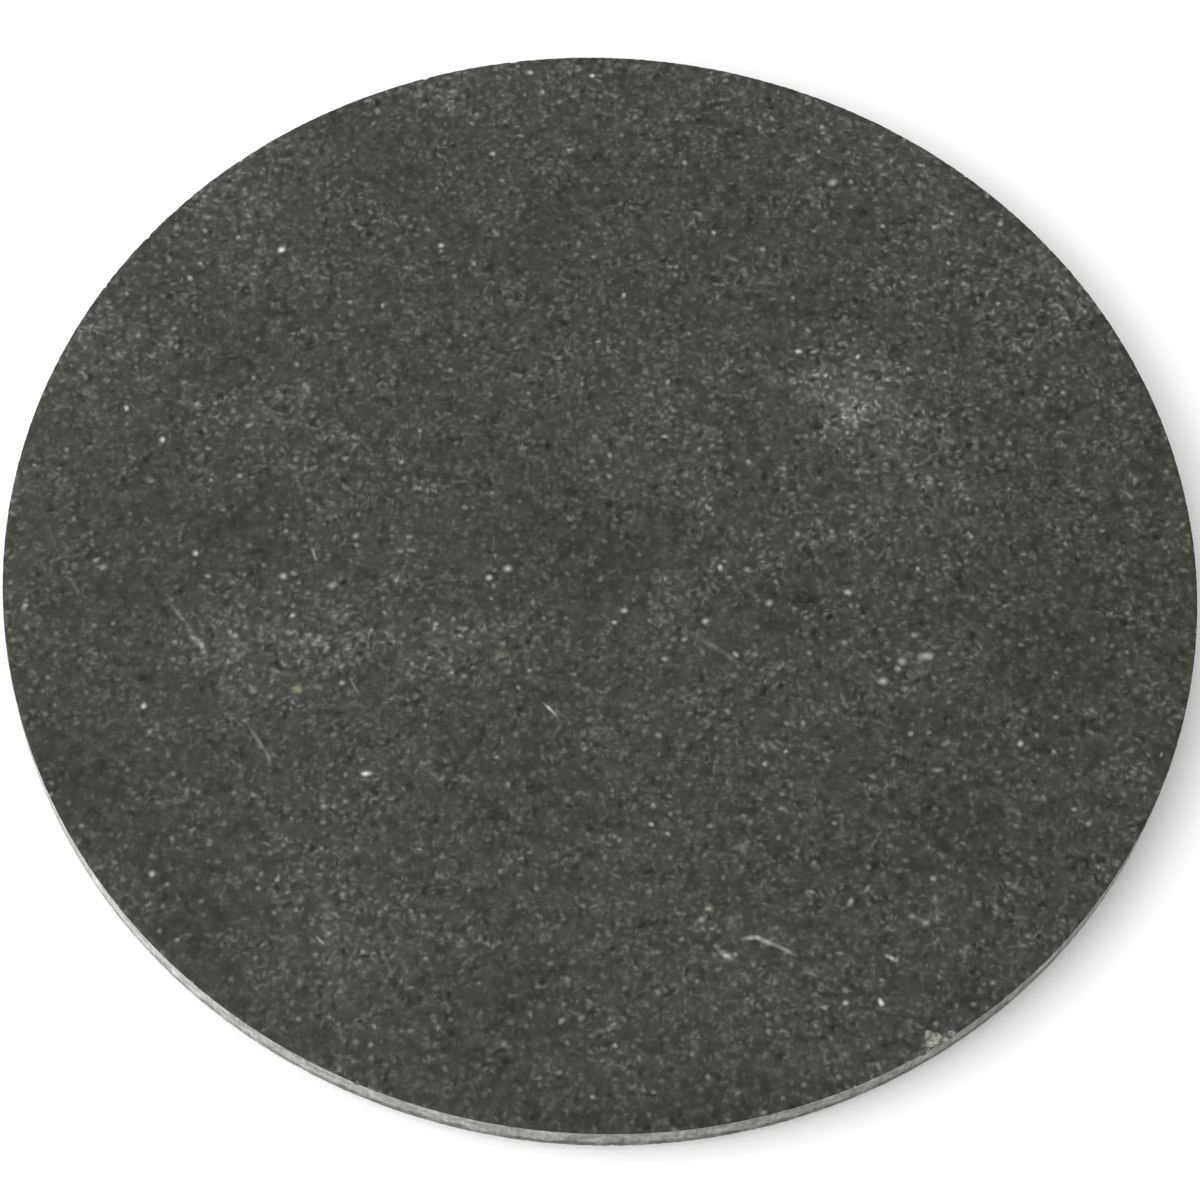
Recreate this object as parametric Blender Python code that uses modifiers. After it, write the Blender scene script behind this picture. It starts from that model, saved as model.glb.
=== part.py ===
"""A round honed-granite work slab for leatherworking, standing on four self-adhesive rubber feet.

The origin is on the surface that the slab stands on, under the middle of the stone, with +Z up.
The stone is one sawn disc. Each foot is a rubber bumper on its own disc of foam tape under the stone.
"""

import math

import bmesh
import bpy

MM = 0.001

# Stone: a thin disc with a honed top, a sawn rim and an eased arris on both faces
SLAB_DIAMETER = 305 * MM
SLAB_THICKNESS = 9.5 * MM
TOP_ARRIS = 0.4 * MM
BOTTOM_ARRIS = 0.6 * MM
SLAB_SEGMENTS = 180

# Feet: turned rubber bumpers, narrower at the floor than at the tape
FOOT_DIAMETER = 20 * MM
FOOT_HEIGHT = 2.2 * MM
FOOT_DRAFT = 0.5 * MM
FOOT_EDGE_RADIUS = 0.6 * MM
FOOT_RIM_INSET = 45 * MM  # from the stone's rim to the middle of a foot
FOOT_SEGMENTS = 48
EDGE_STEPS = 4

# Foam tape between each foot and the stone
TAPE_THICKNESS = 0.8 * MM
TAPE_MARGIN = 0.8 * MM  # how far the tape stays inside the foot's edge

# Faces that rest on each other keep this gap
SEAT_GAP = 0.3 * MM

# Edges that turn more sharply than this keep a crisp line when shaded
SHARP_ANGLE = math.radians(30)

FOOT_ANGLES = {
    "front_right": -45,
    "back_right": 45,
    "back_left": 135,
    "front_left": 225,
}

TAPE_BASE = FOOT_HEIGHT + SEAT_GAP
SLAB_BASE = TAPE_BASE + TAPE_THICKNESS + SEAT_GAP
FOOT_CIRCLE_RADIUS = SLAB_DIAMETER / 2 - FOOT_RIM_INSET


def clear_scene():
    """Removes whatever objects the scene starts with."""
    for obj in list(bpy.data.objects):
        bpy.data.objects.remove(obj)


def make_collection(name):
    """A new collection, linked to the scene."""
    collection = bpy.data.collections.new(name)
    bpy.context.scene.collection.children.link(collection)
    return collection


def make_material(name, colour, roughness):
    """A plain Principled material; colour is linear red, green and blue."""
    material = bpy.data.materials.new(name)
    material.use_nodes = True
    shader = material.node_tree.nodes["Principled BSDF"]
    shader.inputs["Base Color"].default_value = (*colour, 1)
    shader.inputs["Roughness"].default_value = roughness
    shader.inputs["Metallic"].default_value = 0
    return material


def turned_mesh(name, profile, segments):
    """A mesh made by turning an outline of (radius, height) points a full circle about the vertical axis."""
    outline = bpy.data.meshes.new(name + "_outline")
    shape = bmesh.new()
    points = [shape.verts.new((radius, 0, height)) for radius, height in profile]
    for start, end in zip(points, points[1:]):
        shape.edges.new((start, end))
    shape.to_mesh(outline)
    shape.free()

    lathe = bpy.data.objects.new(name + "_lathe", outline)
    bpy.context.scene.collection.objects.link(lathe)
    screw = lathe.modifiers.new("Turn", "SCREW")
    screw.axis = "Z"
    screw.angle = math.tau
    screw.steps = segments
    screw.render_steps = segments
    screw.use_merge_vertices = True
    screw.merge_threshold = 0.00001
    view = bpy.context.evaluated_depsgraph_get()
    mesh = bpy.data.meshes.new_from_object(lathe.evaluated_get(view))
    mesh.name = name
    bpy.data.objects.remove(lathe)
    bpy.data.meshes.remove(outline)

    mesh.shade_smooth()
    mesh.set_sharp_from_angle(angle=SHARP_ANGLE)
    return mesh


def place(name, mesh, collection, location):
    """An object that shows a mesh at a place."""
    part = bpy.data.objects.new(name, mesh)
    part.location = location
    collection.objects.link(part)


def slab_profile():
    """The stone's outline, from the middle of its top face round to the middle of its underside."""
    radius = SLAB_DIAMETER / 2
    return [
        (0, SLAB_THICKNESS),
        (radius - TOP_ARRIS, SLAB_THICKNESS),
        (radius, SLAB_THICKNESS - TOP_ARRIS),
        (radius, BOTTOM_ARRIS),
        (radius - BOTTOM_ARRIS, 0),
        (0, 0),
    ]


def foot_profile():
    """A bumper's outline: a flat top, a drafted side, a rounded lower edge and a flat base."""
    top_radius = FOOT_DIAMETER / 2
    side_radius = top_radius - FOOT_DRAFT
    centre = side_radius - FOOT_EDGE_RADIUS
    edge = []
    for step in range(EDGE_STEPS + 1):
        turn = math.pi / 2 * step / EDGE_STEPS
        edge.append((
            centre + FOOT_EDGE_RADIUS * math.cos(turn),
            FOOT_EDGE_RADIUS * (1 - math.sin(turn)),
        ))
    return [(0, FOOT_HEIGHT), (top_radius, FOOT_HEIGHT), *edge, (0, 0)]


def tape_profile():
    """A plain disc of foam tape."""
    radius = FOOT_DIAMETER / 2 - TAPE_MARGIN
    return [(0, TAPE_THICKNESS), (radius, TAPE_THICKNESS), (radius, 0), (0, 0)]


def make_slab(collection):
    """The stone disc."""
    mesh = turned_mesh("granite_disc", slab_profile(), SLAB_SEGMENTS)
    mesh.materials.append(make_material("honed_black_granite", (0.075, 0.073, 0.066), 0.5))
    place("granite_disc", mesh, collection, (0, 0, SLAB_BASE))


def make_feet(collection):
    """Four rubber bumpers, each with its disc of tape, evenly spaced under the stone."""
    foot_mesh = turned_mesh("rubber_foot", foot_profile(), FOOT_SEGMENTS)
    foot_mesh.materials.append(make_material("moulded_black_rubber", (0.02, 0.02, 0.02), 0.85))
    tape_mesh = turned_mesh("foot_tape", tape_profile(), FOOT_SEGMENTS)
    tape_mesh.materials.append(make_material("white_foam_tape", (0.62, 0.61, 0.57), 0.8))
    for corner, degrees in FOOT_ANGLES.items():
        angle = math.radians(degrees)
        x = FOOT_CIRCLE_RADIUS * math.cos(angle)
        y = FOOT_CIRCLE_RADIUS * math.sin(angle)
        place(f"rubber_foot_{corner}", foot_mesh, collection, (x, y, 0))
        place(f"foot_tape_{corner}", tape_mesh, collection, (x, y, TAPE_BASE))


clear_scene()
parts = make_collection("granite_work_slab")
make_slab(parts)
make_feet(parts)
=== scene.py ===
"""A round honed-granite work slab on four rubber bumpers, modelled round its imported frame.

Run as a script, it builds the stone, the bumpers, their foam tapes and a plain studio.
"""

import math
import random

import bmesh
import bpy
from bpy.props import FloatProperty, FloatVectorProperty, IntProperty, PointerProperty
from mathutils import Matrix, Vector


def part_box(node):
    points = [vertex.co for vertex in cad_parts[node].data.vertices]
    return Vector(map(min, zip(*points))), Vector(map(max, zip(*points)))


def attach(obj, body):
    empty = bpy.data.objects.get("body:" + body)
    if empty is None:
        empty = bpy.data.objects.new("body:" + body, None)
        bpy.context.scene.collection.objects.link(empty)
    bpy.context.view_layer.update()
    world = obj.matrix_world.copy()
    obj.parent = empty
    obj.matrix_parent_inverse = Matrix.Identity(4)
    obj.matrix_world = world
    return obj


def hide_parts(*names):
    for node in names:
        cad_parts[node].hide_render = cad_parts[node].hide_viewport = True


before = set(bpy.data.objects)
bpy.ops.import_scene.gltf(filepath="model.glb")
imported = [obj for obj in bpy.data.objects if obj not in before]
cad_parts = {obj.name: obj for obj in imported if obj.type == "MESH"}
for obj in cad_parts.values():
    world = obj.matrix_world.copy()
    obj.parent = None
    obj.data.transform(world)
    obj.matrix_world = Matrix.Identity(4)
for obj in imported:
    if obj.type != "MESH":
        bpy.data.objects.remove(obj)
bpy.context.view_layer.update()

bl_info = {
    "name": "Granite work slab",
    "version": (1, 0, 0),
    "blender": (4, 5, 0),
    "location": "3D View > Sidebar > Granite slab",
    "description": "Builds a round honed-granite slab for leatherwork, with its feet and a plain studio",
    "category": "Add Mesh",
}

MM = 0.001
SLAB_NODE = "granite_disc"
CORNERS = ("front_left", "front_right", "back_left", "back_right")

SLAB_LOW, SLAB_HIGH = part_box(SLAB_NODE)
SLAB_RADIUS = (SLAB_HIGH.x - SLAB_LOW.x) / 2
SLAB_DEPTH = SLAB_HIGH.z - SLAB_LOW.z
FOOT_LOW, FOOT_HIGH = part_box("rubber_foot_" + CORNERS[0])
TAPE_LOW, TAPE_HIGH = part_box("foot_tape_" + CORNERS[0])

# In metres: heights closer than this are the same height, and a point this near the outline lies on the rim
SAME_HEIGHT = 1e-6
ON_RIM = 1e-5

# Tones are mixed in steps that are even to the eye, and a Gamma node of this value turns them to linear
EYE_GAMMA = 2.2

# The honed skin mirrors part of the light, and the albedo under it is scaled, lowered and kept above a floor
HONED_SHEEN = 0.3
STONE_GAIN = 0.58
STONE_OFFSET = -0.0115
STONE_DARKEST = 0.004

# What a warm patch adds to red, green and blue, and the colour that rust stains a grain with, in even steps
WARM_SHIFT = (0.0048, -0.0020, -0.0005)
OCHRE = (0.66, 0.65, 0.47)

# Patterns of the stone, in mm unless said otherwise
CRYSTAL_SPACING = 4.5
LATH_LENGTH = 1.9  # times a lath's width
GLINT_REACH = 0.6  # of a grain's length and width, where its glow fades out
GRAIN_QUIVER = 1.2  # how far a grain's outline wavers
PATCH_DRIFT = 18.0  # how far a patch's outline wanders
BLADE_MARK_SPACING = 3.0  # of the saw's marks on the underside
THROUGH = 1000.0  # half height of a spot that looks the same at every height of the stone

# Lath layers: which way they lie in degrees, the width in mm of the cell that each lath fills about half of,
# and how much paler or darker than the matrix they are
LATH_LAYERS = (
    (12, 1.45, 0.175),
    (49, 1.90, 0.155),
    (84, 1.35, 0.175),
    (119, 1.75, 0.155),
    (158, 1.60, 0.165),
    (30, 2.10, -0.105),
    (101, 2.40, -0.105),
)

# Patches on the top, in mm from its middle: x, y, half width, half depth, and how much paler or darker
DUSTY_PATCHES = (
    (62, 52, 32, 28, 0.13),
    (62, 50, 15, 19, 0.07),
    (80, 28, 38, 32, 0.08),
    (12, 48, 50, 40, 0.03),
    (95, 70, 60, 60, 0.02),
    (70, 128, 56, 44, 0.05),
    (-108, 102, 38, 36, 0.08),
    (-138, 58, 24, 44, 0.06),
    (-60, 138, 56, 22, 0.06),
    (-100, 32, 30, 14, 0.05),
    (-102, 2, 50, 40, -0.035),
    (-112, 60, 40, 30, -0.02),
    (0, 150, 120, 40, 0.035),
    (112, 98, 60, 60, 0.045),
    (-92, -33, 34, 14, 0.04),
    (-62, -29, 42, 12, 0.08),
    (-34, -25, 38, 10, 0.065),
    (-75, -40, 50, 34, 0.035),
    (23, 22, 8, 26, 0.07),
    (20, -8, 8, 26, 0.06),
    (75, -23, 26, 14, 0.03),
    (-56, -109, 36, 30, 0.035),
    (-4, 2, 36, 28, -0.045),
    (50, -9, 30, 18, -0.035),
    (-15, -122, 40, 30, -0.05),
    (92, -68, 46, 40, -0.03),
    (121, -20, 36, 36, -0.03),
    (-120, -25, 34, 30, -0.04),
    (-128, -72, 50, 50, -0.05),
    (-95, -110, 40, 40, -0.05),
    (-3, -66, 44, 36, -0.03),
    (20, -146, 120, 30, -0.04),
)

# Patches on the top that lean to warm brown or to cool green, laid out in the same way
TINTED_PATCHES = (
    (-110, -85, 70, 70, 0.12),
    (-10, -125, 70, 44, 0.10),
    (-105, 85, 60, 60, 0.10),
    (-20, 30, 60, 40, 0.06),
    (122, -14, 40, 34, 0.10),
    (75, 30, 50, 40, 0.05),
    (-4, 4, 40, 32, -0.12),
    (55, -9, 44, 24, -0.10),
    (-88, 2, 44, 24, -0.10),
    (-5, 75, 70, 36, -0.10),
    (58, 84, 40, 30, -0.10),
    (0, -66, 60, 36, -0.10),
    (100, -62, 44, 44, -0.10),
)

# Chips that stand out: angle in degrees, inset of the middle in mm, on the top arris or not, length along the
# arris, and how far they reach in from their middle and down, in mm
LARGE_CHIPS = (
    (-53.8, 2.3, True, 4.4, 2.2, 1.4),
    (-52.5, 0.8, True, 4.6, 1.3, 1.0),
    (-55.0, 0.2, True, 3.0, 0.9, 1.5),
    (147.0, -0.3, True, 2.2, 0.8, 6.0),
)
SMALL_CHIPS = 26

# Edge wear reaches this far in from the outline, down from the top and up from the underside
WEAR_IN = 0.8 * MM
WEAR_DOWN = 0.5 * MM
WEAR_UP = 0.8 * MM

# Width of the ring of narrow faces that keeps the wide face inside it flat
FACE_RING = 1.5 * MM

# Stretches of the rim with painted light on the key light's side and painted shade on the far side:
# x, y and reach in mm, and how much paler or darker
RIM_PAINTED_LIGHT_AND_SHADE = (
    (50, -144, 120, -0.28),
    (-113, -102, 60, 0.45),
)

# Which material of the stone is which
HONED, RIM, FRESH, SAWN = range(4)

# The stone's own map: middle and radius of its two faces, and how much of a turn each strip of rim takes
TOP_ON_MAP = (0.37, 0.625, 0.36)
BACK_ON_MAP = (0.87, 0.86, 0.122)
RIM_STRIP = math.tau / 4

# The strips of rim on the map: left end and length, then the foot of the lowest, their pitch and their height
STRIP_LEFT, STRIP_LENGTH = 0.015, 0.97
STRIP_FOOT, STRIP_PITCH, STRIP_HEIGHT = 0.022, 0.06, 0.042

# Crystals and scratches that stand out, in mm from the middle: x, y, length, width, turn and brightness
INCLUSIONS = (
    (-92, 82.5, 2.4, 2.0, 20, 1.3),
    (-111, -52, 2.0, 1.8, 60, 1.1),
    (-116, 23, 2.0, 1.8, 110, 1.05),
    (-50, 88, 1.9, 1.8, 10, 1.0),
    (-24, -5.5, 2.8, 2.4, 30, 0.85),
    (76, -113, 2.5, 1.6, 115, 1.15),
    (-54, -65, 2.9, 1.6, 8, 1.15),
    (-28.5, -8.5, 2.2, 2.0, 40, 0.85),
    (46.5, 65, 2.0, 1.8, 0, 0.9),
    (6.5, -14.5, 2.2, 1.8, 15, 0.85),
    (108, -42, 2.0, 1.8, 70, 0.85),
    (30, 0, 2.0, 1.8, 100, 0.85),
    (-115, 71.5, 2.0, 1.8, 130, 0.8),
    (43, -9, 2.6, 2.2, 45, 0.75),
    (-39, 118, 2.0, 1.8, 20, 0.8),
    (63, -4, 2.6, 2.2, 160, 0.7),
    (53, 118, 3.2, 2.4, 35, 0.7),
    (-103, -96, 2.0, 1.8, 90, 0.75),
    (-31, 145, 2.0, 1.8, 5, 0.9),
    (67.5, -114, 1.8, 1.6, 0, 0.75),
    (27, -15.5, 2.0, 1.8, 20, 0.75),
    (83.5, -20, 4.6, 2.5, 15, 0.75),
    (77.5, -22, 2.6, 2.4, 0, 0.7),
    (73, -28, 2.8, 2.6, 0, 0.8),
    (17.5, -27, 1.8, 1.6, 0, 0.65),
    (17.5, -48, 2.2, 2.0, 0, 0.5),
    (87.5, -51, 3.4, 1.6, 5, 0.5),
    (87.5, -80, 2.0, 1.8, 0, 0.65),
    (67.5, -88, 3.0, 1.6, 70, 0.55),
    (71.5, -84, 2.8, 1.4, 60, 0.45),
    (40, -76, 4.5, 2.2, 5, 0.25),
    (-84.5, -45, 2.4, 2.4, 0, 0.55),
    (-84, 48.5, 2.2, 1.6, 110, 0.55),
    (-68.5, 22, 2.0, 1.8, 0, 0.55),
    (-103.5, -8.5, 2.0, 2.0, 0, 0.75),
    (-63.5, 0, 2.4, 2.0, 60, 0.55),
    (-80.5, -13, 2.4, 2.2, 0, 0.8),
    (-78, -12, 2.2, 1.6, 0, 0.5),
    (-68, -14.5, 2.6, 2.2, 30, 0.65),
    (-10, -43.5, 5.6, 0.9, 138, 0.9),
    (43.5, -99.5, 5.6, 1.5, 12, 0.65),
    (47, -100, 5.6, 1.5, 160, 0.6),
    (51.5, -101.5, 8.6, 1.4, 156, 0.5),
    (38, -104.5, 4.6, 1.8, 155, 0.75),
    (78, -101.5, 3.8, 1.4, 155, 0.85),
    (28, -21.5, 12.0, 2.2, 153, 0.22),
    (34, -25, 5.5, 2.0, 148, 0.2),
    (84.5, -91, 6.5, 1.8, 156, 0.28),
    (-60.5, -109.5, 3.4, 0.8, 140, 0.6),
    (-73.5, -6, 4.8, 1.1, 113, 0.6),
    (-105.5, -26, 9.0, 1.3, 133, 0.32),
    (-101, -32, 7.5, 2.2, 125, 0.3),
    (-98.5, -34.5, 5.5, 1.6, 118, 0.3),
    (-82, -58, 9.5, 1.3, 128, 0.35),
    (-78.5, -63, 5.5, 1.4, 113, 0.35),
    (-59.5, -41.5, 6.0, 1.0, 123, 0.4),
)

# Rust-stained grains, in mm from the middle: x, y, size and brightness
OCHRE_GRAINS = (
    (-73.5, -44, 3.2, 0.5),
    (-24, -30, 2.4, 0.35),
    (33, -93, 2.4, 0.35),
    (32, -95.5, 2.0, 0.3),
)

# Straight steps round a bumper and round a tape
FOOT_SIDES = 96

# Bumpers: the rounding at the tape, then in the base the dish's sloping wall, its floor and the gate's nub
BUMPER_TOP_EDGE = 0.15 * MM
DISH_SLOPE = 0.5 * MM
DISH_FLOOR = 5.0 * MM
GATE_NUB_TAPER = 0.08 * MM
GATE_NUB_HEIGHT = 0.12 * MM

# Tapes: what is left of the radius at both pinched faces, and how far up and how much the foam swells again
TAPE_PINCH = 0.985
TAPE_SWELLINGS = ((0.25, 1.011), (0.5, 1.015), (0.75, 1.011))

# The key light's direction, in degrees from +X towards +Y and up from the floor
KEY_AZIMUTH = 202
KEY_ELEVATION = 30

# The camera: lens in mm, distance in radii of the stone, rise over the floor and roll in degrees, and shift
LENS = 109.6
CAMERA_RADII = 6.12
CAMERA_RISE = 63.85
CAMERA_ROLL = 4.86
CAMERA_SHIFT = (-0.0027, -0.0356)


def srgb(code):
    """Linear red, green and blue of an sRGB hex colour such as #4a4945."""
    channels = [int(code[i:i + 2], 16) / 255 for i in (1, 3, 5)]
    return tuple(c / 12.92 if c <= 0.04045 else ((c + 0.055) / 1.055) ** 2.4 for c in channels)


# ---------------------------------------------------------------- settings


def length(name, description, default):
    """A size in metres that a user may change."""
    return FloatProperty(
        name=name, description=description, default=default, min=0, unit="LENGTH", precision=5
    )


def colour(name, description, code):
    """A colour that a user may change."""
    return FloatVectorProperty(
        name=name, description=description, default=srgb(code), subtype="COLOR", size=3, min=0, max=1
    )


class StoneSettings(bpy.types.PropertyGroup):
    """Sizes and colours of the stone."""

    sides: IntProperty(name="Sides", description="Straight steps round the rim", default=1440, min=48)
    rows: IntProperty(name="Rows", description="Cuts down the height of the rim", default=12, min=1)
    top_arris: length("Top arris", "Width of the eased edge round the working face", 0.3 * MM)
    back_arris: length("Back arris", "Width of the eased edge round the underside", 0.6 * MM)
    jet_depth: length("Jet marks", "Depth of the marks that the water jet leaves low on the rim", 0.22 * MM)
    nibble_depth: length("Edge wear", "Depth of the small nibbles along both arrises", 0.16 * MM)
    matrix: colour("Matrix", "Dark pyroxene ground of the honed face", "#484742")
    crystal: colour("Crystals", "Bright feldspar in the honed face", "#ecebe4")
    rim_dark: colour("Rim, dark grains", "Darkest grains of the cut rim", "#656460")
    rim_light: colour("Rim, light grains", "Bruised grains of the cut rim", "#9b9a96")
    # The olive-grey is partly a chip's dark mineral and partly painted shade of its hollow
    hollow_mineral_and_shade: colour("Hollows", "Olive-grey mineral deep in a chip", "#46463b")


class FootSettings(bpy.types.PropertyGroup):
    """Sizes and colours of the bumpers and their tapes."""

    draft: length("Draft", "How much narrower a bumper is at its base", 0.5 * MM)
    edge_radius: length("Edge radius", "Rounding of a bumper's lower edge", 0.6 * MM)
    dish_width: length("Dish inset", "Width of the flat ring round the dished base", 2.6 * MM)
    dish_depth: length("Dish depth", "Depth of the dish in the base", 0.25 * MM)
    rubber: colour("Rubber", "Moulded rubber of the bumpers", "#232323")
    foam: colour("Foam", "Acrylic foam of the tapes", "#cfccc2")


class StageSettings(bpy.types.PropertyGroup):
    """Floor and light of the studio."""

    floor_size: length("Floor", "Side of the square floor", 12.0)
    floor: colour("Floor colour", "Matt pale floor", "#f7f7f6")
    key_power: FloatProperty(
        name="Key", description="Power of the softbox on the left", default=22.0, unit="POWER"
    )
    sky: FloatProperty(name="Walls", description="Strength of the light from all round", default=1.15, min=0)
    slope: FloatProperty(
        name="Slope", description="How much brighter the key's side is", default=0.9, min=0, max=1
    )


# ---------------------------------------------------------------- modelling help


def deselect_all():
    """Nothing selected, in object mode."""
    if bpy.context.object and bpy.context.object.mode != "OBJECT":
        bpy.ops.object.mode_set(mode="OBJECT")
    bpy.ops.object.select_all(action="DESELECT")


def select_only(piece):
    """One piece selected and active, in object mode."""
    deselect_all()
    piece.select_set(True)
    bpy.context.view_layer.objects.active = piece


def choose(kind, test):
    """In edit mode, selects only those faces, edges or verts that pass the test."""
    mesh = bmesh.from_edit_mesh(bpy.context.object.data)
    bpy.ops.mesh.select_mode(type={"faces": "FACE", "edges": "EDGE", "verts": "VERT"}[kind])
    bpy.ops.mesh.select_all(action="DESELECT")
    for item in getattr(mesh, kind):
        item.select_set(bool(test(item)))
    mesh.select_flush_mode()
    bmesh.update_edit_mesh(bpy.context.object.data)


def level_at(height):
    """A test for edges or faces that lie flat at a height."""
    return lambda item: all(abs(vertex.co.z - height) < SAME_HEIGHT for vertex in item.verts)


def level_at_vertex(height):
    """A test for vertices at a height."""
    return lambda vertex: abs(vertex.co.z - height) < SAME_HEIGHT


def climb(edge):
    """How much higher one end of an edge is than the other."""
    return abs(edge.verts[0].co.z - edge.verts[1].co.z)


def rim_distance(vertex):
    """How far a vertex lies inside the stone's outline."""
    return SLAB_RADIUS - math.hypot(vertex.co.x, vertex.co.y)


def spread(model, name, node):
    """Puts a copy of a modelled piece, with its own mesh, at each corner's node and removes the model."""
    for corner in CORNERS:
        low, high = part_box(node + corner)
        piece = model.copy()
        piece.data = model.data.copy()
        piece.name = piece.data.name = name + corner
        bpy.context.scene.collection.objects.link(piece)
        select_only(piece)
        piece.location = ((low.x + high.x) / 2, (low.y + high.y) / 2, 0)
        bpy.ops.object.transform_apply()
        finish_piece(piece, [node + corner])
    bpy.data.objects.remove(model)


def cylinder(name, radius, low, high, sides):
    """A new closed cylinder on the vertical axis, in edit mode with its place in its mesh."""
    deselect_all()
    bpy.ops.mesh.primitive_cylinder_add(vertices=sides, radius=radius, depth=high - low,
                                        location=(0, 0, (low + high) / 2), calc_uvs=False)
    piece = bpy.context.object
    piece.name = piece.data.name = name
    bpy.ops.object.transform_apply(location=True, rotation=False, scale=False)
    bpy.ops.object.mode_set(mode="EDIT")
    return piece


def apply_modifier(piece, kind, **settings):
    """Adds a modifier with its settings to the active piece and applies it."""
    modifier = piece.modifiers.new(kind.title(), kind)
    for name, value in settings.items():
        setattr(modifier, name, value)
    bpy.ops.object.modifier_apply(modifier=modifier.name)


def finish_piece(piece, nodes, angle=35):
    """Shades a piece, lets it ride on the slab's body and puts it in place of its CAD nodes."""
    select_only(piece)
    bpy.ops.object.shade_smooth_by_angle(angle=math.radians(angle))
    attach(piece, "root")
    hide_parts(*nodes)


# ---------------------------------------------------------------- materials


def add(tree, kind, inputs=None, out=0, **settings):
    """Adds one node with its settings and links, and returns the output socket that is asked for."""
    node = tree.nodes.new(kind)
    for name, value in settings.items():
        setattr(node, name, value)
    for key, value in (inputs or {}).items():
        if isinstance(value, bpy.types.NodeSocket):
            tree.links.new(value, node.inputs[key])
        else:
            node.inputs[key].default_value = value
    return node.outputs[out]


def even_steps(linear):
    """A linear colour in steps that are even to the eye, for tones to be mixed in."""
    return tuple(c ** (1 / EYE_GAMMA) for c in linear)


def spot(tree, place, middle, half_sizes, turn=0, fade="SPHERICAL"):
    """A soft spot in a pattern: one at its middle and zero at its half sizes in mm, turned some degrees."""
    inside = add(tree, "ShaderNodeMapping", {"Vector": place, "Location": middle,
                                             "Rotation": (0, 0, math.radians(turn)),
                                             "Scale": half_sizes}, vector_type="TEXTURE")
    return add(tree, "ShaderNodeTexGradient", {"Vector": inside}, gradient_type=fade)


def new_material(name, roughness, ior):
    """A material with only a Principled shader, and a position in millimetres to draw patterns by."""
    material = bpy.data.materials.new(name)
    material.use_nodes = True
    tree = material.node_tree
    shader = tree.nodes["Principled BSDF"]
    shader.inputs["Roughness"].default_value = roughness
    shader.inputs["IOR"].default_value = ior
    place = add(tree, "ShaderNodeTexCoord", out="Object")
    place_mm = add(tree, "ShaderNodeMapping", {"Vector": place, "Scale": (1 / MM,) * 3})
    return material, tree, shader, place_mm


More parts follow.
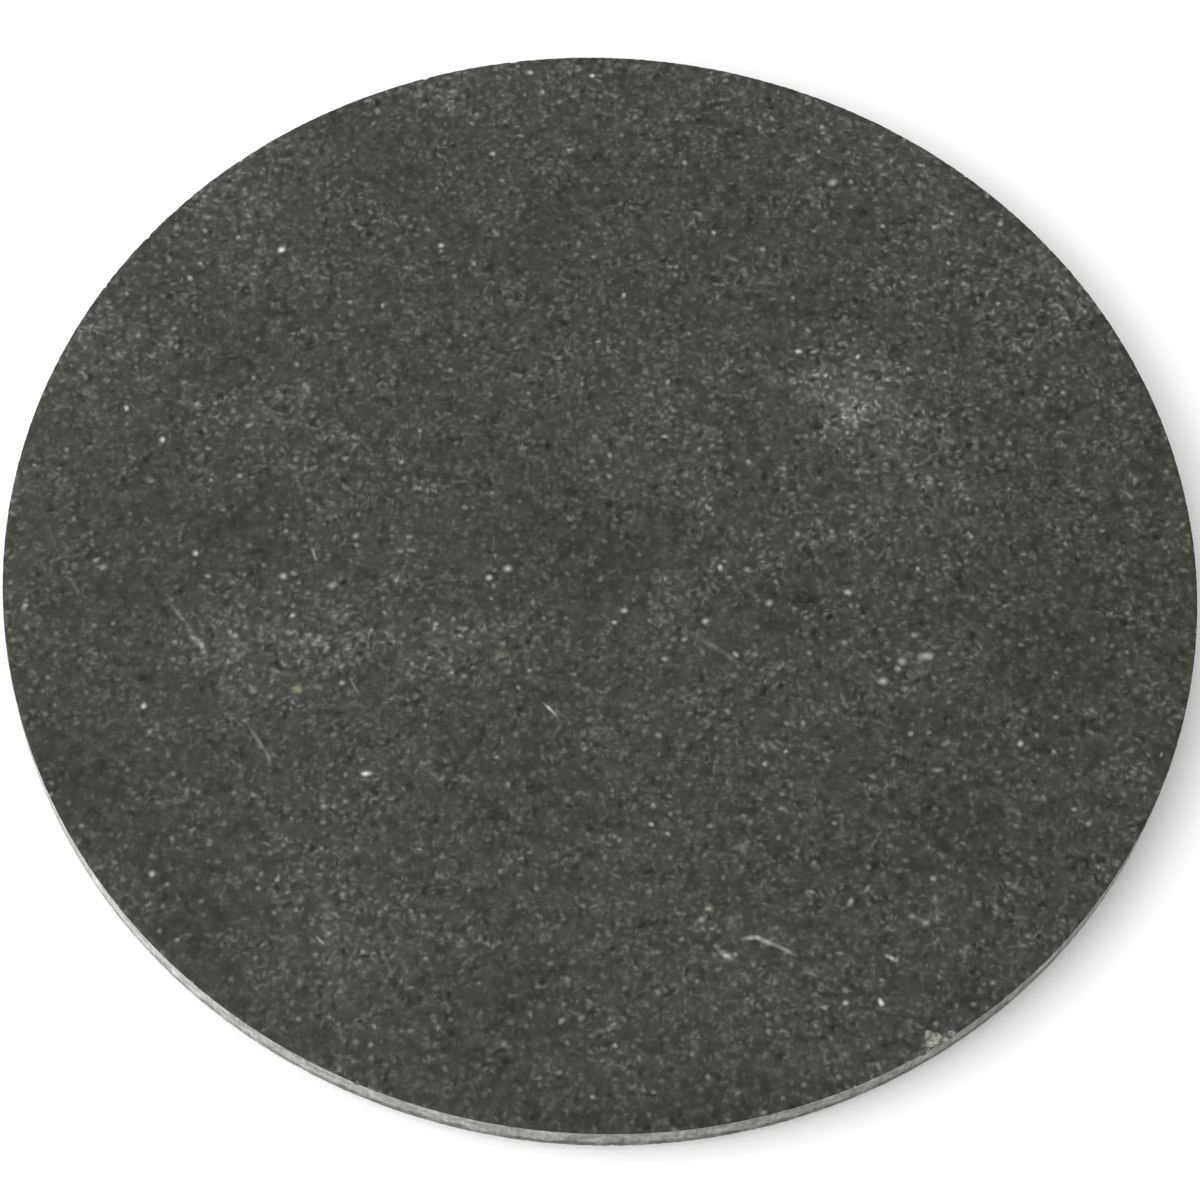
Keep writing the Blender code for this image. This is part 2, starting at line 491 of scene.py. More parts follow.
def honed_black_granite(stone):
    """Fine black granite ground flat and left unpolished: a soft grey sheen, short pale laths lying every way
    in a dark ground, scattered bright crystals, and cloudy patches where dust and use have dulled it."""
    material, tree, shader, place = new_material("honed_black_granite", 0.55, 1.5)
    shader.inputs["Specular IOR Level"].default_value = HONED_SHEEN

    # Slow drifts bend the patterns, so that no grain is straight and no patch is round
    wander = add(tree, "ShaderNodeTexNoise", {"Vector": place, "Scale": 0.06, "Detail": 2.0}, out="Color")
    bent = add(tree, "ShaderNodeVectorMath", {0: wander, 1: (PATCH_DRIFT, PATCH_DRIFT, 0), 2: place},
               operation="MULTIPLY_ADD")
    patch_place = add(tree, "ShaderNodeVectorMath", {0: bent, 1: (PATCH_DRIFT / 2, PATCH_DRIFT / 2, 0)},
                      operation="SUBTRACT")
    shiver = add(tree, "ShaderNodeTexNoise", {"Vector": place, "Scale": 0.32, "Detail": 0.0}, out="Color")
    grain_place = add(tree, "ShaderNodeVectorMath", {0: shiver, 1: (GRAIN_QUIVER, GRAIN_QUIVER, 0), 2: place},
                      operation="MULTIPLY_ADD")

    # Cloudy patches: broad uneven mottling, and the ones that stand out on their own
    cloud = add(tree, "ShaderNodeTexNoise", {"Vector": place, "Scale": 0.05, "Detail": 4.0, "Roughness": 0.6})
    haze = add(tree, "ShaderNodeMapRange",
               {"Value": cloud, "From Min": 0.3, "From Max": 0.7, "To Min": -0.022, "To Max": 0.022})
    for x, y, width, depth, level in DUSTY_PATCHES:
        glow = spot(tree, patch_place, (x, y, 0), (width, depth, THROUGH), fade="QUADRATIC_SPHERE")
        haze = add(tree, "ShaderNodeMath", {0: glow, 1: level, 2: haze}, operation="MULTIPLY_ADD")

    # Grains: pale laths, each layer lying its own way, with fewer and darker pyroxene grains between them
    flecks = 0.0
    for turn, size, weight in LATH_LAYERS:
        cell = add(tree, "ShaderNodeMapping", {"Vector": grain_place, "Location": (turn * 1.7, turn * 0.9, 0),
                                               "Rotation": (0, 0, math.radians(turn)),
                                               "Scale": (size * LATH_LENGTH, size, 1)}, vector_type="TEXTURE")
        lath = add(tree, "ShaderNodeTexVoronoi", {"Vector": cell, "Scale": 1.0}, voronoi_dimensions="2D")
        body = add(tree, "ShaderNodeMapRange",
                   {"Value": lath, "From Min": -0.05, "From Max": 0.52, "To Min": 1, "To Max": 0},
                   interpolation_type="SMOOTHSTEP")
        chance = add(tree, "ShaderNodeSeparateColor", {"Color": lath.node.outputs["Color"]})
        shown = add(tree, "ShaderNodeMapRange", {"Value": chance, "From Min": 0.45, "From Max": 1.0,
                                                 "To Min": 0, "To Max": weight})
        flecks = add(tree, "ShaderNodeMath", {0: body, 1: shown, 2: flecks}, operation="MULTIPLY_ADD")

    # The laths flock together, and lie thickest where the stone is dusty
    flock = add(tree, "ShaderNodeTexNoise", {"Vector": bent, "Scale": 0.13, "Detail": 3.0, "Roughness": 0.65})
    flock = add(tree, "ShaderNodeMapRange",
                {"Value": flock, "From Min": 0.32, "From Max": 0.70, "To Min": 0.25, "To Max": 1.75})
    density = add(tree, "ShaderNodeMath", {0: haze, 1: 9.0, 2: flock}, operation="MULTIPLY_ADD")
    density = add(tree, "ShaderNodeMath", {0: density, 1: 0.15}, operation="MAXIMUM")
    flecks = add(tree, "ShaderNodeMath", {0: flecks, 1: density}, operation="MULTIPLY")
    fine = add(tree, "ShaderNodeTexNoise", {"Vector": place, "Scale": 0.24, "Detail": 2.5, "Roughness": 0.7})
    ground = add(tree, "ShaderNodeMapRange",
                 {"Value": fine, "From Min": 0.25, "From Max": 0.75, "To Min": -0.085, "To Max": 0.085})

    # Bright crystals: many faint ones, few brilliant ones, and the ones that stand out
    star_cell = add(tree, "ShaderNodeTexVoronoi", {"Vector": grain_place, "Scale": 1 / CRYSTAL_SPACING},
                    voronoi_dimensions="2D")
    star = add(tree, "ShaderNodeMapRange", {"Value": star_cell, "From Min": 0.25 / CRYSTAL_SPACING,
                                            "From Max": 0.95 / CRYSTAL_SPACING, "To Min": 1, "To Max": 0})
    luck = add(tree, "ShaderNodeSeparateColor", {"Color": star_cell.node.outputs["Color"]})
    rarity = add(tree, "ShaderNodeMath", {0: luck, 1: math.e}, operation="LOGARITHM")
    brilliance = add(tree, "ShaderNodeMath", {0: rarity, 1: -0.085, 2: 0.06}, operation="MULTIPLY_ADD")
    stars = add(tree, "ShaderNodeMath", {0: star, 1: brilliance, 2: flecks}, operation="MULTIPLY_ADD")
    for x, y, long, wide, turn, level in INCLUSIONS:
        glint = spot(tree, place, (x, y, 0), (long * GLINT_REACH, wide * GLINT_REACH, THROUGH), turn)
        stars = add(tree, "ShaderNodeMath", {0: glint, 1: level, 2: stars}, operation="MULTIPLY_ADD")

    # The layers add up to a tone in steps that are even to the eye, from the matrix up to a crystal
    tone = add(tree, "ShaderNodeMath", {0: ground, 1: haze}, operation="ADD")
    tone = add(tree, "ShaderNodeMath", {0: tone, 1: stars}, operation="ADD")
    mixed = add(tree, "ShaderNodeMix", {"Factor": tone, "A": even_steps(stone.matrix),
                                        "B": even_steps(stone.crystal)},
                out="Result", data_type="VECTOR", clamp_factor=False)

    # The colour wanders between warm and cool, and a few grains are stained
    hue = add(tree, "ShaderNodeTexNoise",
              {"Vector": patch_place, "Scale": 0.045, "Detail": 5.0, "Roughness": 0.65})
    hue = add(tree, "ShaderNodeMath", {0: haze, 1: 1.5, 2: hue}, operation="MULTIPLY_ADD")
    for x, y, width, depth, level in TINTED_PATCHES:
        glow = spot(tree, patch_place, (x, y, 0), (width, depth, THROUGH))
        hue = add(tree, "ShaderNodeMath", {0: glow, 1: level, 2: hue}, operation="MULTIPLY_ADD")
    warmth = add(tree, "ShaderNodeMapRange",
                 {"Value": hue, "From Min": 0.39, "From Max": 0.56, "To Min": -1.0, "To Max": 0.8},
                 interpolation_type="SMOOTHSTEP")
    tinted = add(tree, "ShaderNodeVectorMath", {0: warmth, 1: WARM_SHIFT, 2: mixed},
                 operation="MULTIPLY_ADD")
    for x, y, size, level in OCHRE_GRAINS:
        stain = spot(tree, grain_place, (x + GRAIN_QUIVER / 2, y + GRAIN_QUIVER / 2, 0),
                     (size * GLINT_REACH, size * GLINT_REACH, THROUGH))
        tinted = add(tree, "ShaderNodeVectorMath", {0: stain, 1: [level * c for c in OCHRE], 2: tinted},
                     operation="MULTIPLY_ADD")
    skin = add(tree, "ShaderNodeGamma", {"Color": tinted, "Gamma": EYE_GAMMA})
    albedo = add(tree, "ShaderNodeVectorMath", {0: skin, 1: (STONE_GAIN,) * 3, 2: (STONE_OFFSET,) * 3},
                 operation="MULTIPLY_ADD")
    albedo = add(tree, "ShaderNodeVectorMath", {0: albedo, 1: (STONE_DARKEST,) * 3}, operation="MAXIMUM")
    tree.links.new(albedo, shader.inputs["Base Color"])

    # Crystals take the hone better than the matrix, and the matrix is faintly pitted
    gloss = add(tree, "ShaderNodeMapRange",
                {"Value": tone, "From Min": 0, "From Max": 0.5, "To Min": 0.6, "To Max": 0.42})
    tree.links.new(gloss, shader.inputs["Roughness"])
    pits = add(tree, "ShaderNodeBump", {"Height": fine, "Strength": 0.04, "Distance": 0.0001})
    tree.links.new(pits, shader.inputs["Normal"])
    return material


def water_jet_cut_granite(stone):
    """The rim as an abrasive water jet leaves it: bruised grains make it far paler than the honed face, with
    blotches where harder minerals meet; the jet cuts a smooth band at the top and drags deeper upright
    furrows towards the bottom, where painted shade darkens the lower band; the rim is paler towards the top
    arris; and a stretch on the key light's side carries painted light, the stretch away from it painted
    shade."""
    material, tree, shader, place = new_material("water_jet_cut_granite", 0.85, 1.5)
    shader.inputs["Specular IOR Level"].default_value = HONED_SHEEN
    blotch = add(tree, "ShaderNodeTexNoise",
                 {"Vector": place, "Scale": 0.22, "Detail": 4.0, "Roughness": 0.7})
    grain = add(tree, "ShaderNodeTexVoronoi", {"Vector": place, "Scale": 0.9}, out="Color")
    grain = add(tree, "ShaderNodeSeparateColor", {"Color": grain})
    upright = add(tree, "ShaderNodeMapping", {"Vector": place, "Scale": (1, 1, 0.12)})
    furrow = add(tree, "ShaderNodeTexNoise",
                 {"Vector": upright, "Scale": 0.9, "Detail": 3.0, "Roughness": 0.65})

    # The drag, and the painted shade that darkens the lower band, start about halfway down and are full at a
    # quarter of the height, give or take the blotches
    height = add(tree, "ShaderNodeSeparateXYZ", {"Vector": place}, out="Z")
    sway = add(tree, "ShaderNodeMath", {0: blotch, 1: 2.4, 2: height}, operation="MULTIPLY_ADD")
    drag_and_shade_low = (SLAB_LOW.z + 0.30 * SLAB_DEPTH) / MM + 0.7
    drag_and_shade_high = (SLAB_LOW.z + 0.46 * SLAB_DEPTH) / MM + 1.2
    drag_and_shade = add(tree, "ShaderNodeMapRange", {"Value": sway, "From Min": drag_and_shade_low, "From Max": drag_and_shade_high,
                                            "To Min": 1, "To Max": 0})
    top = SLAB_HIGH.z / MM
    # The rim is made paler towards the top arris
    paler_top = add(tree, "ShaderNodeMapRange",
                      {"Value": height, "From Min": top - 0.9, "From Max": top - 0.2,
                       "To Min": 0, "To Max": 1})

    tone = add(tree, "ShaderNodeMapRange",
               {"Value": blotch, "From Min": 0.3, "From Max": 0.7, "To Min": -0.05, "To Max": 0.95})
    # Painted light on the rim's stretch towards the key, painted shade on the stretch away from it
    for x, y, reach, level in RIM_PAINTED_LIGHT_AND_SHADE:
        painted_light_and_shade = spot(tree, place, (x, y, 0), (reach, reach, reach))
        tone = add(tree, "ShaderNodeMath", {0: painted_light_and_shade, 1: level, 2: tone}, operation="MULTIPLY_ADD")
    tone = add(tree, "ShaderNodeMath", {0: grain, 1: 0.35, 2: tone}, operation="MULTIPLY_ADD")
    furrow_tone = add(tree, "ShaderNodeMapRange",
                      {"Value": furrow, "From Min": 0.3, "From Max": 0.7, "To Min": -0.35, "To Max": 0.2})
    tone = add(tree, "ShaderNodeMath", {0: furrow_tone, 1: tone}, operation="ADD")
    # Painted shade darkens the rim where the drag is, towards the bottom
    tone = add(tree, "ShaderNodeMath", {0: drag_and_shade, 1: -0.55, 2: tone}, operation="MULTIPLY_ADD")
    tone = add(tree, "ShaderNodeMath", {0: paler_top, 1: 0.1, 2: tone}, operation="MULTIPLY_ADD")
    mixed = add(tree, "ShaderNodeMix", {"Factor": tone, "A": even_steps(stone.rim_dark),
                                        "B": even_steps(stone.rim_light)},
                out="Result", data_type="VECTOR", clamp_factor=False)
    albedo = add(tree, "ShaderNodeGamma", {"Color": mixed, "Gamma": EYE_GAMMA})
    tree.links.new(albedo, shader.inputs["Base Color"])

    depth = add(tree, "ShaderNodeMath", {0: drag_and_shade, 1: furrow}, operation="MULTIPLY")
    depth = add(tree, "ShaderNodeMath", {0: grain, 1: 0.3, 2: depth}, operation="MULTIPLY_ADD")
    relief = add(tree, "ShaderNodeBump", {"Height": depth, "Strength": 0.5, "Distance": 0.0003})
    tree.links.new(relief, shader.inputs["Normal"])
    return material


def fractured_granite(stone):
    """Chips show fresh broken crystal: the palest skin on the stone, sugary, with olive-grey patches laid
    by noise, partly dark mineral and partly painted shade of the chips' hollows.
    """
    material, tree, shader, place = new_material("fractured_granite", 0.6, 1.55)
    crystal = add(tree, "ShaderNodeTexVoronoi", {"Vector": place, "Scale": 1.3}, out="Color")
    crystal = add(tree, "ShaderNodeSeparateColor", {"Color": crystal})
    # Noise lays the olive-grey over the chips: partly dark mineral, partly painted shade of their hollows
    hollow_mineral_and_shade = add(tree, "ShaderNodeTexNoise", {"Vector": place, "Scale": 0.5, "Detail": 2.0})
    tone = add(tree, "ShaderNodeMapRange",
               {"Value": hollow_mineral_and_shade, "From Min": 0.40, "From Max": 0.60, "To Min": -0.05, "To Max": 0.22})
    tone = add(tree, "ShaderNodeMath", {0: crystal, 1: 0.22, 2: tone}, operation="MULTIPLY_ADD")

    # The largest chip is whitest at its middle
    degrees, inset = LARGE_CHIPS[0][:2]
    angle, reach = math.radians(degrees), SLAB_RADIUS / MM - inset
    middle = (reach * math.cos(angle), reach * math.sin(angle), SLAB_HIGH.z / MM)
    core = spot(tree, place, middle, (2.5, 2.5, 5))
    tone = add(tree, "ShaderNodeMath", {0: core, 1: 0.6, 2: tone}, operation="MULTIPLY_ADD")
    mixed = add(tree, "ShaderNodeMix", {"Factor": tone, "A": even_steps(stone.hollow_mineral_and_shade),
                                        "B": even_steps(stone.crystal)},
                out="Result", data_type="VECTOR", clamp_factor=False)
    albedo = add(tree, "ShaderNodeGamma", {"Color": mixed, "Gamma": EYE_GAMMA})
    tree.links.new(albedo, shader.inputs["Base Color"])
    facets = add(tree, "ShaderNodeBump", {"Height": crystal, "Strength": 0.6, "Distance": 0.0003})
    tree.links.new(facets, shader.inputs["Normal"])
    return material


def gang_sawn_granite(stone):
    """The underside stays as the gang saw left it: dull grey, with shallow parallel blade marks and fine
    abrasive scratches along them."""
    material, tree, shader, place = new_material("gang_sawn_granite", 0.88, 1.5)
    shader.inputs["Specular IOR Level"].default_value = HONED_SHEEN

    # The blades ran a little askew of the slab's axes, and their marks wander slightly
    turned = add(tree, "ShaderNodeMapping", {"Vector": place, "Rotation": (0, 0, math.radians(17)),
                                             "Scale": (0.03, 1, 1)}, vector_type="POINT")
    drift = add(tree, "ShaderNodeTexNoise", {"Vector": place, "Scale": 0.02, "Detail": 2.0})
    across = add(tree, "ShaderNodeSeparateXYZ", {"Vector": turned}, out="Y")
    phase = add(tree, "ShaderNodeMath", {0: drift, 1: 9.0, 2: across}, operation="MULTIPLY_ADD")
    wave = add(tree, "ShaderNodeMath", {0: phase, 1: math.tau / BLADE_MARK_SPACING}, operation="MULTIPLY")
    wave = add(tree, "ShaderNodeMath", {0: wave}, operation="SINE")
    scratch = add(tree, "ShaderNodeTexNoise",
                  {"Vector": turned, "Scale": 1.6, "Detail": 3.0, "Roughness": 0.7})
    grain = add(tree, "ShaderNodeTexNoise", {"Vector": place, "Scale": 0.8, "Detail": 3.0, "Roughness": 0.75})
    stain = add(tree, "ShaderNodeTexNoise", {"Vector": place, "Scale": 0.03, "Detail": 4.0, "Roughness": 0.6})

    tone = add(tree, "ShaderNodeMapRange",
               {"Value": stain, "From Min": 0.3, "From Max": 0.7, "To Min": -0.45, "To Max": -0.05})
    tone = add(tree, "ShaderNodeMath", {0: wave, 1: 0.05, 2: tone}, operation="MULTIPLY_ADD")
    tone = add(tree, "ShaderNodeMath", {0: grain, 1: 0.8, 2: tone}, operation="MULTIPLY_ADD")
    tone = add(tree, "ShaderNodeMath", {0: scratch, 1: 0.5, 2: tone}, operation="MULTIPLY_ADD")
    mixed = add(tree, "ShaderNodeMix", {"Factor": tone, "A": even_steps(stone.matrix),
                                        "B": even_steps(stone.rim_light)},
                out="Result", data_type="VECTOR", clamp_factor=False)
    albedo = add(tree, "ShaderNodeGamma", {"Color": mixed, "Gamma": EYE_GAMMA})
    tree.links.new(albedo, shader.inputs["Base Color"])
    relief = add(tree, "ShaderNodeMath", {0: wave, 1: 0.3, 2: scratch}, operation="MULTIPLY_ADD")
    marks = add(tree, "ShaderNodeBump", {"Height": relief, "Strength": 0.35, "Distance": 0.0002})
    tree.links.new(marks, shader.inputs["Normal"])
    return material


def moulded_black_rubber(feet):
    """Compression-moulded rubber: near black and matt, with a fine spark-eroded grain and a faint bloom."""
    material, tree, shader, place = new_material("moulded_black_rubber", 0.75, 1.52)
    bloom = add(tree, "ShaderNodeTexNoise", {"Vector": place, "Scale": 0.25, "Detail": 3.0})
    bloom = add(tree, "ShaderNodeMapRange",
                {"Value": bloom, "From Min": 0.35, "From Max": 0.7, "To Min": 0, "To Max": 0.35})
    dusty = [c * 2.2 + 0.01 for c in feet.rubber]
    mixed = add(tree, "ShaderNodeMix", {"Factor": bloom, "A": (*feet.rubber,), "B": (*dusty,)},
                out="Result", data_type="VECTOR")
    tree.links.new(mixed, shader.inputs["Base Color"])
    texture = add(tree, "ShaderNodeTexNoise", {"Vector": place, "Scale": 6.0, "Detail": 1.0})
    rough = add(tree, "ShaderNodeMapRange", {"Value": texture, "To Min": 0.65, "To Max": 0.88})
    tree.links.new(rough, shader.inputs["Roughness"])
    relief = add(tree, "ShaderNodeBump", {"Height": texture, "Strength": 0.25, "Distance": 0.00005})
    tree.links.new(relief, shader.inputs["Normal"])
    return material


def acrylic_foam_tape(feet):
    """White closed-cell acrylic foam, die-cut to a disc: small open cells along the cut, greyed by dust."""
    material, tree, shader, place = new_material("acrylic_foam_tape", 0.7, 1.47)
    cells = add(tree, "ShaderNodeTexVoronoi", {"Vector": place, "Scale": 4.0})
    tone = add(tree, "ShaderNodeMapRange",
               {"Value": cells, "From Min": 0.1, "From Max": 0.7, "To Min": 0.5, "To Max": 1.0})
    shade = add(tree, "ShaderNodeVectorMath", {0: tone, 1: (*feet.foam,)}, operation="MULTIPLY")
    tree.links.new(shade, shader.inputs["Base Color"])
    relief = add(tree, "ShaderNodeBump", {"Height": cells, "Strength": 0.4, "Distance": 0.0001})
    tree.links.new(relief, shader.inputs["Normal"])
    return material


def matt_studio_floor(stage):
    """Matt pale board under even light."""
    material, _, shader, _ = new_material("matt_studio_floor", 0.9, 1.45)
    shader.inputs["Base Color"].default_value = (*stage.floor, 1)
    shader.inputs["Specular IOR Level"].default_value = 0.2
    return material


# ---------------------------------------------------------------- pieces


class OBJECT_OT_granite_stone(bpy.types.Operator):
    """Models the stone disc with its arrises, cut rim and chips"""

    bl_idname = "object.granite_stone"
    bl_label = "Granite stone"

    def execute(self, context):
        stone = context.scene.granite_stone
        low, high = SLAB_LOW.z, SLAB_HIGH.z
        piece = cylinder("granite_stone", SLAB_RADIUS, low, high, stone.sides)
        choose("faces", lambda face: abs(face.normal.z) > 0.9)
        bpy.ops.mesh.inset(thickness=FACE_RING, use_boundary=True)
        for height, width in ((high, stone.top_arris), (low, stone.back_arris)):
            flat = level_at(height)
            choose("edges", lambda edge: flat(edge) and all(rim_distance(end) < ON_RIM for end in edge.verts))
            bpy.ops.mesh.bevel(offset=width, segments=3, profile=0.5, affect="EDGES")
        choose("edges", lambda edge: climb(edge) > SLAB_DEPTH / 2)
        bpy.ops.mesh.subdivide(number_cuts=stone.rows)
        bpy.ops.object.mode_set(mode="OBJECT")

        fresh = fractured_granite(stone)
        piece.data.materials.append(honed_black_granite(stone))
        piece.data.materials.append(water_jet_cut_granite(stone))
        piece.data.materials.append(fresh)
        piece.data.materials.append(gang_sawn_granite(stone))
        for face in piece.data.polygons:
            face.material_index = HONED if face.normal.z > 0.9 else SAWN if face.normal.z < -0.9 else RIM

        self.weather(piece, stone)
        self.chip(piece, fresh)
        self.unwrap(piece)
        finish_piece(piece, [SLAB_NODE], angle=24)
        return {"FINISHED"}

    def weather(self, piece, stone):
        """Pushes the rim inwards where the jet wandered, mostly at its foot, and nibbles both arrises."""
        jet = piece.vertex_groups.new(name="jet")
        arris = piece.vertex_groups.new(name="arris")
        for vertex in piece.data.vertices:
            inset = rim_distance(vertex)
            height = (vertex.co.z - SLAB_LOW.z) / SLAB_DEPTH
            near_top = vertex.co.z > SLAB_HIGH.z - WEAR_DOWN
            near_back = vertex.co.z < SLAB_LOW.z + WEAR_UP
            if inset < ON_RIM:
                jet.add([vertex.index], 0.2 + 0.8 * (1 - height) ** 2, "REPLACE")
            if inset < WEAR_IN and (near_top or near_back):
                arris.add([vertex.index], 1.0, "REPLACE")

        # Each wear's vertex group, its depth, the width of its marks in mm, and their height in widths
        wears = (("jet", stone.jet_depth, 1.1, 7.0), ("arris", stone.nibble_depth, 0.9, 1.0))
        for group, depth, size, rise in wears:
            grain = bpy.data.textures.new(group + "_grain", "CLOUDS")
            grain.noise_scale = 1.0
            grain.noise_depth = 3
            grain.contrast = 1.8
            field = bpy.data.objects.new(group + "_field", None)
            field.scale = (size * MM, size * MM, size * MM * rise)
            bpy.context.scene.collection.objects.link(field)
            bpy.context.view_layer.update()
            # The clouds stay below this middle level, so the stone only ever loses material
            apply_modifier(piece, "DISPLACE", texture=grain, texture_coords="OBJECT",
                           texture_coords_object=field, vertex_group=group, mid_level=1.15, strength=depth)
            bpy.data.objects.remove(field)
            bpy.data.textures.remove(grain)
            piece.vertex_groups.remove(piece.vertex_groups[group])

    def chip(self, piece, fresh):
        """Breaks out the large chips, and small ones from the top and the back arris in turn."""
        chance = random.Random(7)
        chips = list(LARGE_CHIPS)
        for index in range(SMALL_CHIPS):
            top = index % 2 == 0
            size = chance.uniform(0.5, 1.3)
            angle = chance.uniform(0, 360)
            along = size * chance.uniform(1, 2)
            chips.append((angle, 0.0, top, along, size * 0.7, size * 0.6))
        cutters = []
        for number, (angle, inset, top, along, across, down) in enumerate(chips):
            deselect_all()
            turn = math.radians(angle)
            radius = SLAB_RADIUS - inset * MM
            middle = (radius * math.cos(turn), radius * math.sin(turn), SLAB_HIGH.z if top else SLAB_LOW.z)
            bpy.ops.mesh.primitive_ico_sphere_add(subdivisions=4, radius=MM, location=middle,
                                                  rotation=(0, 0, turn), scale=(across, along / 2, down))
            cutter = bpy.context.object
            cutter.data.materials.append(fresh)
            bpy.ops.object.transform_apply()
            crumble = bpy.data.textures.new("crumble", "VORONOI")
            crumble.noise_scale = 0.9 * MM * across
            apply_modifier(cutter, "DISPLACE", texture=crumble, texture_coords="GLOBAL", mid_level=0.5,
                           strength=0.7 * MM * across)
            bpy.data.textures.remove(crumble)
            if cutters and number < len(LARGE_CHIPS):
                # Some of the larger chips run into each other, so they are made one solid first
                select_only(cutters[0])
                apply_modifier(cutters[0], "BOOLEAN", object=cutter, operation="UNION", solver="EXACT")
                bpy.data.objects.remove(cutter)
            else:
                cutters.append(cutter)
        deselect_all()
        for cutter in cutters:
            cutter.select_set(True)
        bpy.context.view_layer.objects.active = cutters[0]
        bpy.ops.object.join()
        select_only(piece)
        apply_modifier(piece, "BOOLEAN", object=cutters[0], operation="DIFFERENCE", solver="EXACT",
                       material_mode="TRANSFER")
        bpy.data.objects.remove(cutters[0])

    def unwrap(self, piece):
        """Lays the working face out large, the underside small, and the rim in four strips."""
        mesh = piece.data
        layer = mesh.uv_layers.new(name="OFBake")
        middle = (SLAB_LOW.z + SLAB_HIGH.z) / 2
        for face in mesh.polygons:
            upper = face.center.z > middle
            flat = face.material_index in (HONED, SAWN)
            flat = flat or face.material_index == FRESH and abs(face.normal.z) > 0.5
            turn = math.atan2(face.center.y, face.center.x) % math.tau
            for corner in face.loop_indices:
                vertex = mesh.vertices[mesh.loops[corner].vertex_index]
                if flat:
                    u, v, size = TOP_ON_MAP if upper else BACK_ON_MAP
                    place = (u + vertex.co.x / SLAB_RADIUS * size, v + vertex.co.y / SLAB_RADIUS * size)
                else:
                    strip = int(turn / RIM_STRIP)
                    step = math.remainder(math.atan2(vertex.co.y, vertex.co.x) - turn, math.tau)
                    along = (turn + step) / RIM_STRIP - strip
                    rolled = rim_distance(vertex) if upper else -rim_distance(vertex)
                    rise = vertex.co.z - SLAB_LOW.z + rolled
                    place = (STRIP_LEFT + STRIP_LENGTH * along,
                             STRIP_FOOT + STRIP_PITCH * strip + STRIP_HEIGHT * rise / SLAB_DEPTH)
                layer.data[corner].uv = place


class OBJECT_OT_rubber_bumpers(bpy.types.Operator):
    """Models one bumper and copies it to the four corners"""

    bl_idname = "object.rubber_bumpers"
    bl_label = "Rubber bumpers"

    def execute(self, context):
        feet = context.scene.granite_feet
        radius = (FOOT_HIGH.x - FOOT_LOW.x) / 2
        low, high = FOOT_LOW.z, FOOT_HIGH.z
        bumper = cylinder("bumper", radius, low, high, FOOT_SIDES)
        choose("verts", level_at_vertex(low))
        shrink = 1 - feet.draft / radius
        bpy.ops.transform.resize(value=(shrink, shrink, 1), center_override=(0, 0, low))
        choose("edges", level_at(low))
        bpy.ops.mesh.bevel(offset=feet.edge_radius, segments=6, profile=0.5, affect="EDGES")
        choose("edges", level_at(high))
        bpy.ops.mesh.bevel(offset=BUMPER_TOP_EDGE, segments=2, profile=0.5, affect="EDGES")

        # The base is dished, so that it grips by its rim, and keeps the nub of the moulding gate
        choose("faces", level_at(low))
        bpy.ops.mesh.inset(thickness=feet.dish_width - feet.edge_radius)
        bpy.ops.mesh.inset(thickness=DISH_SLOPE, depth=-feet.dish_depth)
        bpy.ops.mesh.inset(thickness=DISH_FLOOR)
        bpy.ops.mesh.inset(thickness=GATE_NUB_TAPER, depth=GATE_NUB_HEIGHT)
        bpy.ops.object.mode_set(mode="OBJECT")
        bumper.data.materials.append(moulded_black_rubber(feet))
        spread(bumper, "bumper_", "rubber_foot_")
        return {"FINISHED"}


class OBJECT_OT_foam_tapes(bpy.types.Operator):
    """Models one disc of foam tape and copies it to the four corners"""

    bl_idname = "object.foam_tapes"
    bl_label = "Foam tapes"

    def execute(self, context):
        feet = context.scene.granite_feet
        radius = (TAPE_HIGH.x - TAPE_LOW.x) / 2

        # The foam fills the whole gap from the bumper to the stone
        tape = cylinder("tape", radius, FOOT_HIGH.z, SLAB_LOW.z, FOOT_SIDES)
        choose("faces", lambda face: abs(face.normal.z) < 0.1)
        bpy.ops.mesh.select_all(action="INVERT")
        bpy.ops.transform.resize(value=(TAPE_PINCH, TAPE_PINCH, 1), center_override=(0, 0, FOOT_HIGH.z))
        choose("edges", lambda edge: climb(edge) > SAME_HEIGHT)
        bpy.ops.mesh.subdivide(number_cuts=len(TAPE_SWELLINGS))
        for height, swell in TAPE_SWELLINGS:
            level = FOOT_HIGH.z + (SLAB_LOW.z - FOOT_HIGH.z) * height
            choose("verts", level_at_vertex(level))
            bpy.ops.transform.resize(value=(swell, swell, 1), center_override=(0, 0, level))
        bpy.ops.object.mode_set(mode="OBJECT")
        tape.data.materials.append(acrylic_foam_tape(feet))
        spread(tape, "tape_", "foot_tape_")
        return {"FINISHED"}


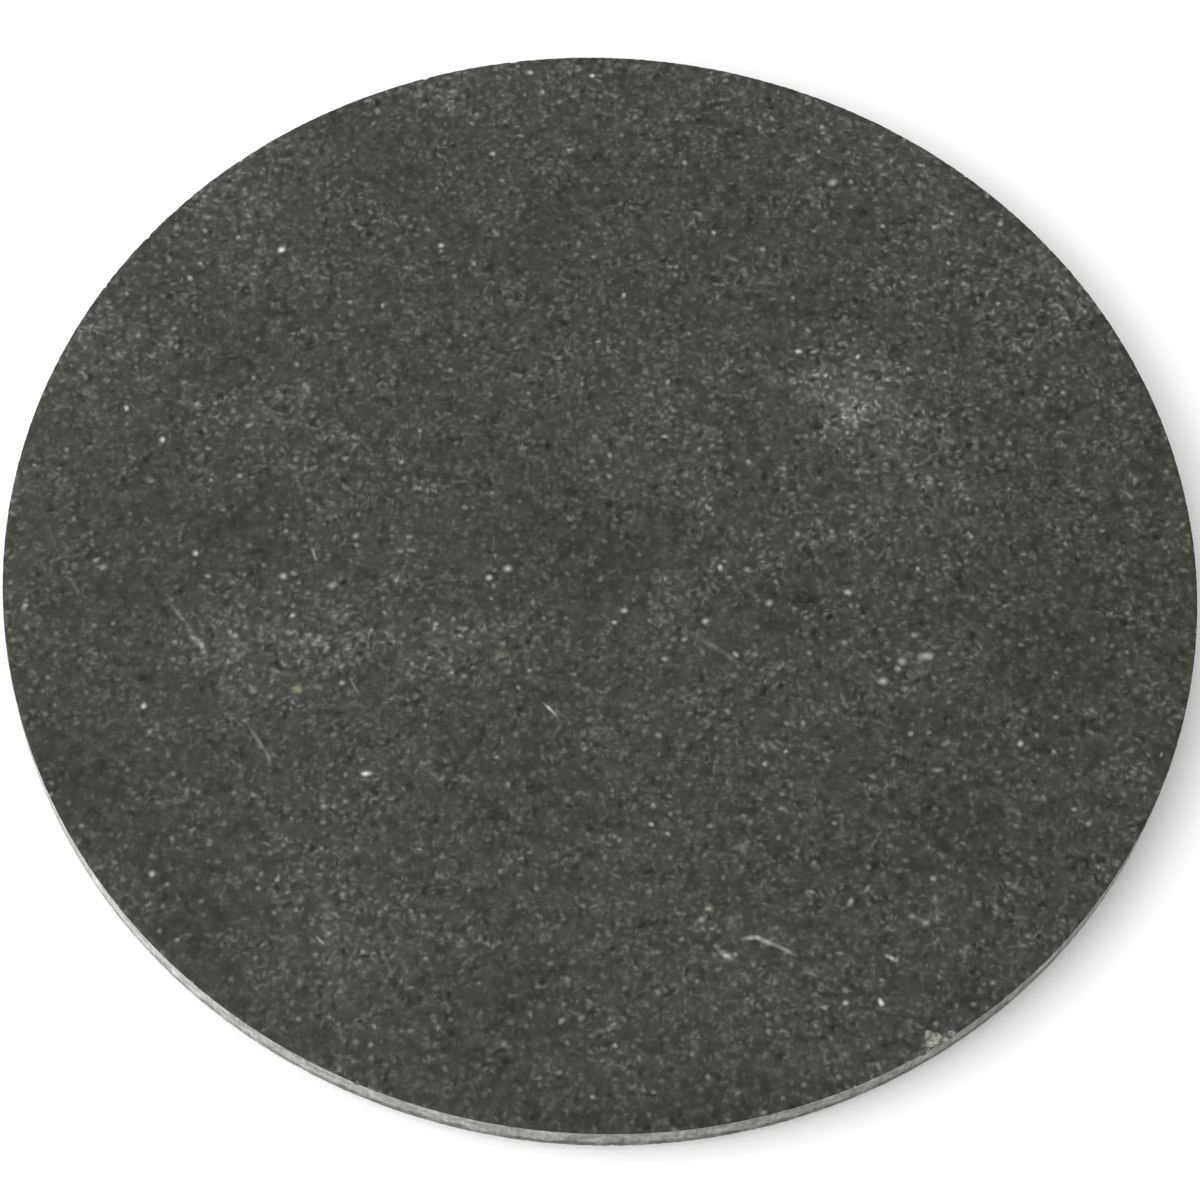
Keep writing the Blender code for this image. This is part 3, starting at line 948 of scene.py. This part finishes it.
class OBJECT_OT_slab_studio(bpy.types.Operator):
    """Makes the pale floor, the soft lights and the camera"""

    bl_idname = "object.slab_studio"
    bl_label = "Studio"

    def execute(self, context):
        stage = context.scene.granite_stage
        deselect_all()
        bpy.ops.mesh.primitive_plane_add(size=stage.floor_size)
        floor = bpy.context.object
        floor.name = "studio_floor"
        floor.data.materials.append(matt_studio_floor(stage))

        self.softbox("key_softbox", stage.key_power, size=1.8, distance=1.9)
        self.sky(context, stage)
        context.scene.view_settings.view_transform = "Standard"
        self.camera(context)
        return {"FINISHED"}

    def sky(self, context, stage):
        """White walls all round, brighter on the side of the key and dimmer on the other."""
        world = bpy.data.worlds.new("studio_walls")
        world.use_nodes = True
        tree = world.node_tree
        way = add(tree, "ShaderNodeTexCoord", out="Generated")
        turn = math.radians(KEY_AZIMUTH)
        side = add(tree, "ShaderNodeVectorMath", {0: way, 1: (math.cos(turn), math.sin(turn), 0)},
                   out="Value", operation="DOT_PRODUCT")
        level = add(tree, "ShaderNodeMath", {0: side, 1: stage.sky * stage.slope, 2: stage.sky},
                    operation="MULTIPLY_ADD")
        wall = tree.nodes["Background"]
        wall.inputs["Color"].default_value = (1, 1, 1, 1)
        tree.links.new(level, wall.inputs["Strength"])
        context.scene.world = world

    def softbox(self, name, power, size, distance):
        """A square softbox that faces the slab from the key's direction."""
        data = bpy.data.lights.new(name, "AREA")
        data.energy = power
        data.size = size
        lamp = bpy.data.objects.new(name, data)
        bpy.context.scene.collection.objects.link(lamp)
        turn, rise = math.radians(KEY_AZIMUTH), math.radians(KEY_ELEVATION)
        way = Vector((math.cos(turn) * math.cos(rise), math.sin(turn) * math.cos(rise), math.sin(rise)))
        lamp.location = way * distance
        lamp.rotation_euler = way.to_track_quat("Z", "Y").to_euler()

    def camera(self, context):
        """A long lens from well above the front of the slab, tipped a few degrees about its own axis."""
        data = bpy.data.cameras.new("camera")
        data.sensor_width = 36
        data.lens = LENS
        data.shift_x, data.shift_y = CAMERA_SHIFT
        camera = bpy.data.objects.new("camera", data)
        context.scene.collection.objects.link(camera)
        rise, roll = math.radians(CAMERA_RISE), math.radians(CAMERA_ROLL)
        back = Vector((0, -math.cos(rise), math.sin(rise)))
        right = Vector((1, 0, 0))
        up = back.cross(right)
        turned_right = right * math.cos(roll) + up * math.sin(roll)
        turned_up = up * math.cos(roll) - right * math.sin(roll)
        place = Vector((0, 0, SLAB_HIGH.z)) + back * CAMERA_RADII * SLAB_RADIUS
        pose = Matrix((turned_right, turned_up, back)).transposed().to_4x4()
        camera.matrix_world = Matrix.Translation(place) @ pose
        data.clip_start, data.clip_end = 0.05, 50
        context.scene.camera = camera


class VIEW3D_PT_granite_slab(bpy.types.Panel):
    """The pieces of the slab, in the sidebar"""

    bl_label = "Granite slab"
    bl_space_type = "VIEW_3D"
    bl_region_type = "UI"
    bl_category = "Granite slab"

    def draw(self, context):
        for group, operators in PANEL_ROWS:
            settings = getattr(context.scene, group)
            box = self.layout.box()
            for name in settings.__annotations__:
                box.prop(settings, name)
            for operator in operators:
                box.operator(operator.bl_idname)


PANEL_ROWS = (
    ("granite_stone", (OBJECT_OT_granite_stone,)),
    ("granite_feet", (OBJECT_OT_rubber_bumpers, OBJECT_OT_foam_tapes)),
    ("granite_stage", (OBJECT_OT_slab_studio,)),
)
SETTINGS = {"granite_stone": StoneSettings, "granite_feet": FootSettings, "granite_stage": StageSettings}
CLASSES = (
    *SETTINGS.values(),
    OBJECT_OT_granite_stone,
    OBJECT_OT_rubber_bumpers,
    OBJECT_OT_foam_tapes,
    OBJECT_OT_slab_studio,
    VIEW3D_PT_granite_slab,
)


def register():
    """Makes the classes known to Blender and gives each scene the slab's settings."""
    for item in CLASSES:
        bpy.utils.register_class(item)
    for name, group in SETTINGS.items():
        setattr(bpy.types.Scene, name, PointerProperty(type=group))


def unregister():
    """Takes back what register did."""
    for name in SETTINGS:
        delattr(bpy.types.Scene, name)
    for item in reversed(CLASSES):
        bpy.utils.unregister_class(item)


def main():
    """Builds the slab and its studio."""
    register()
    bpy.ops.object.granite_stone()
    bpy.ops.object.rubber_bumpers()
    bpy.ops.object.foam_tapes()
    bpy.ops.object.slab_studio()


if __name__ == "__main__":
    main()
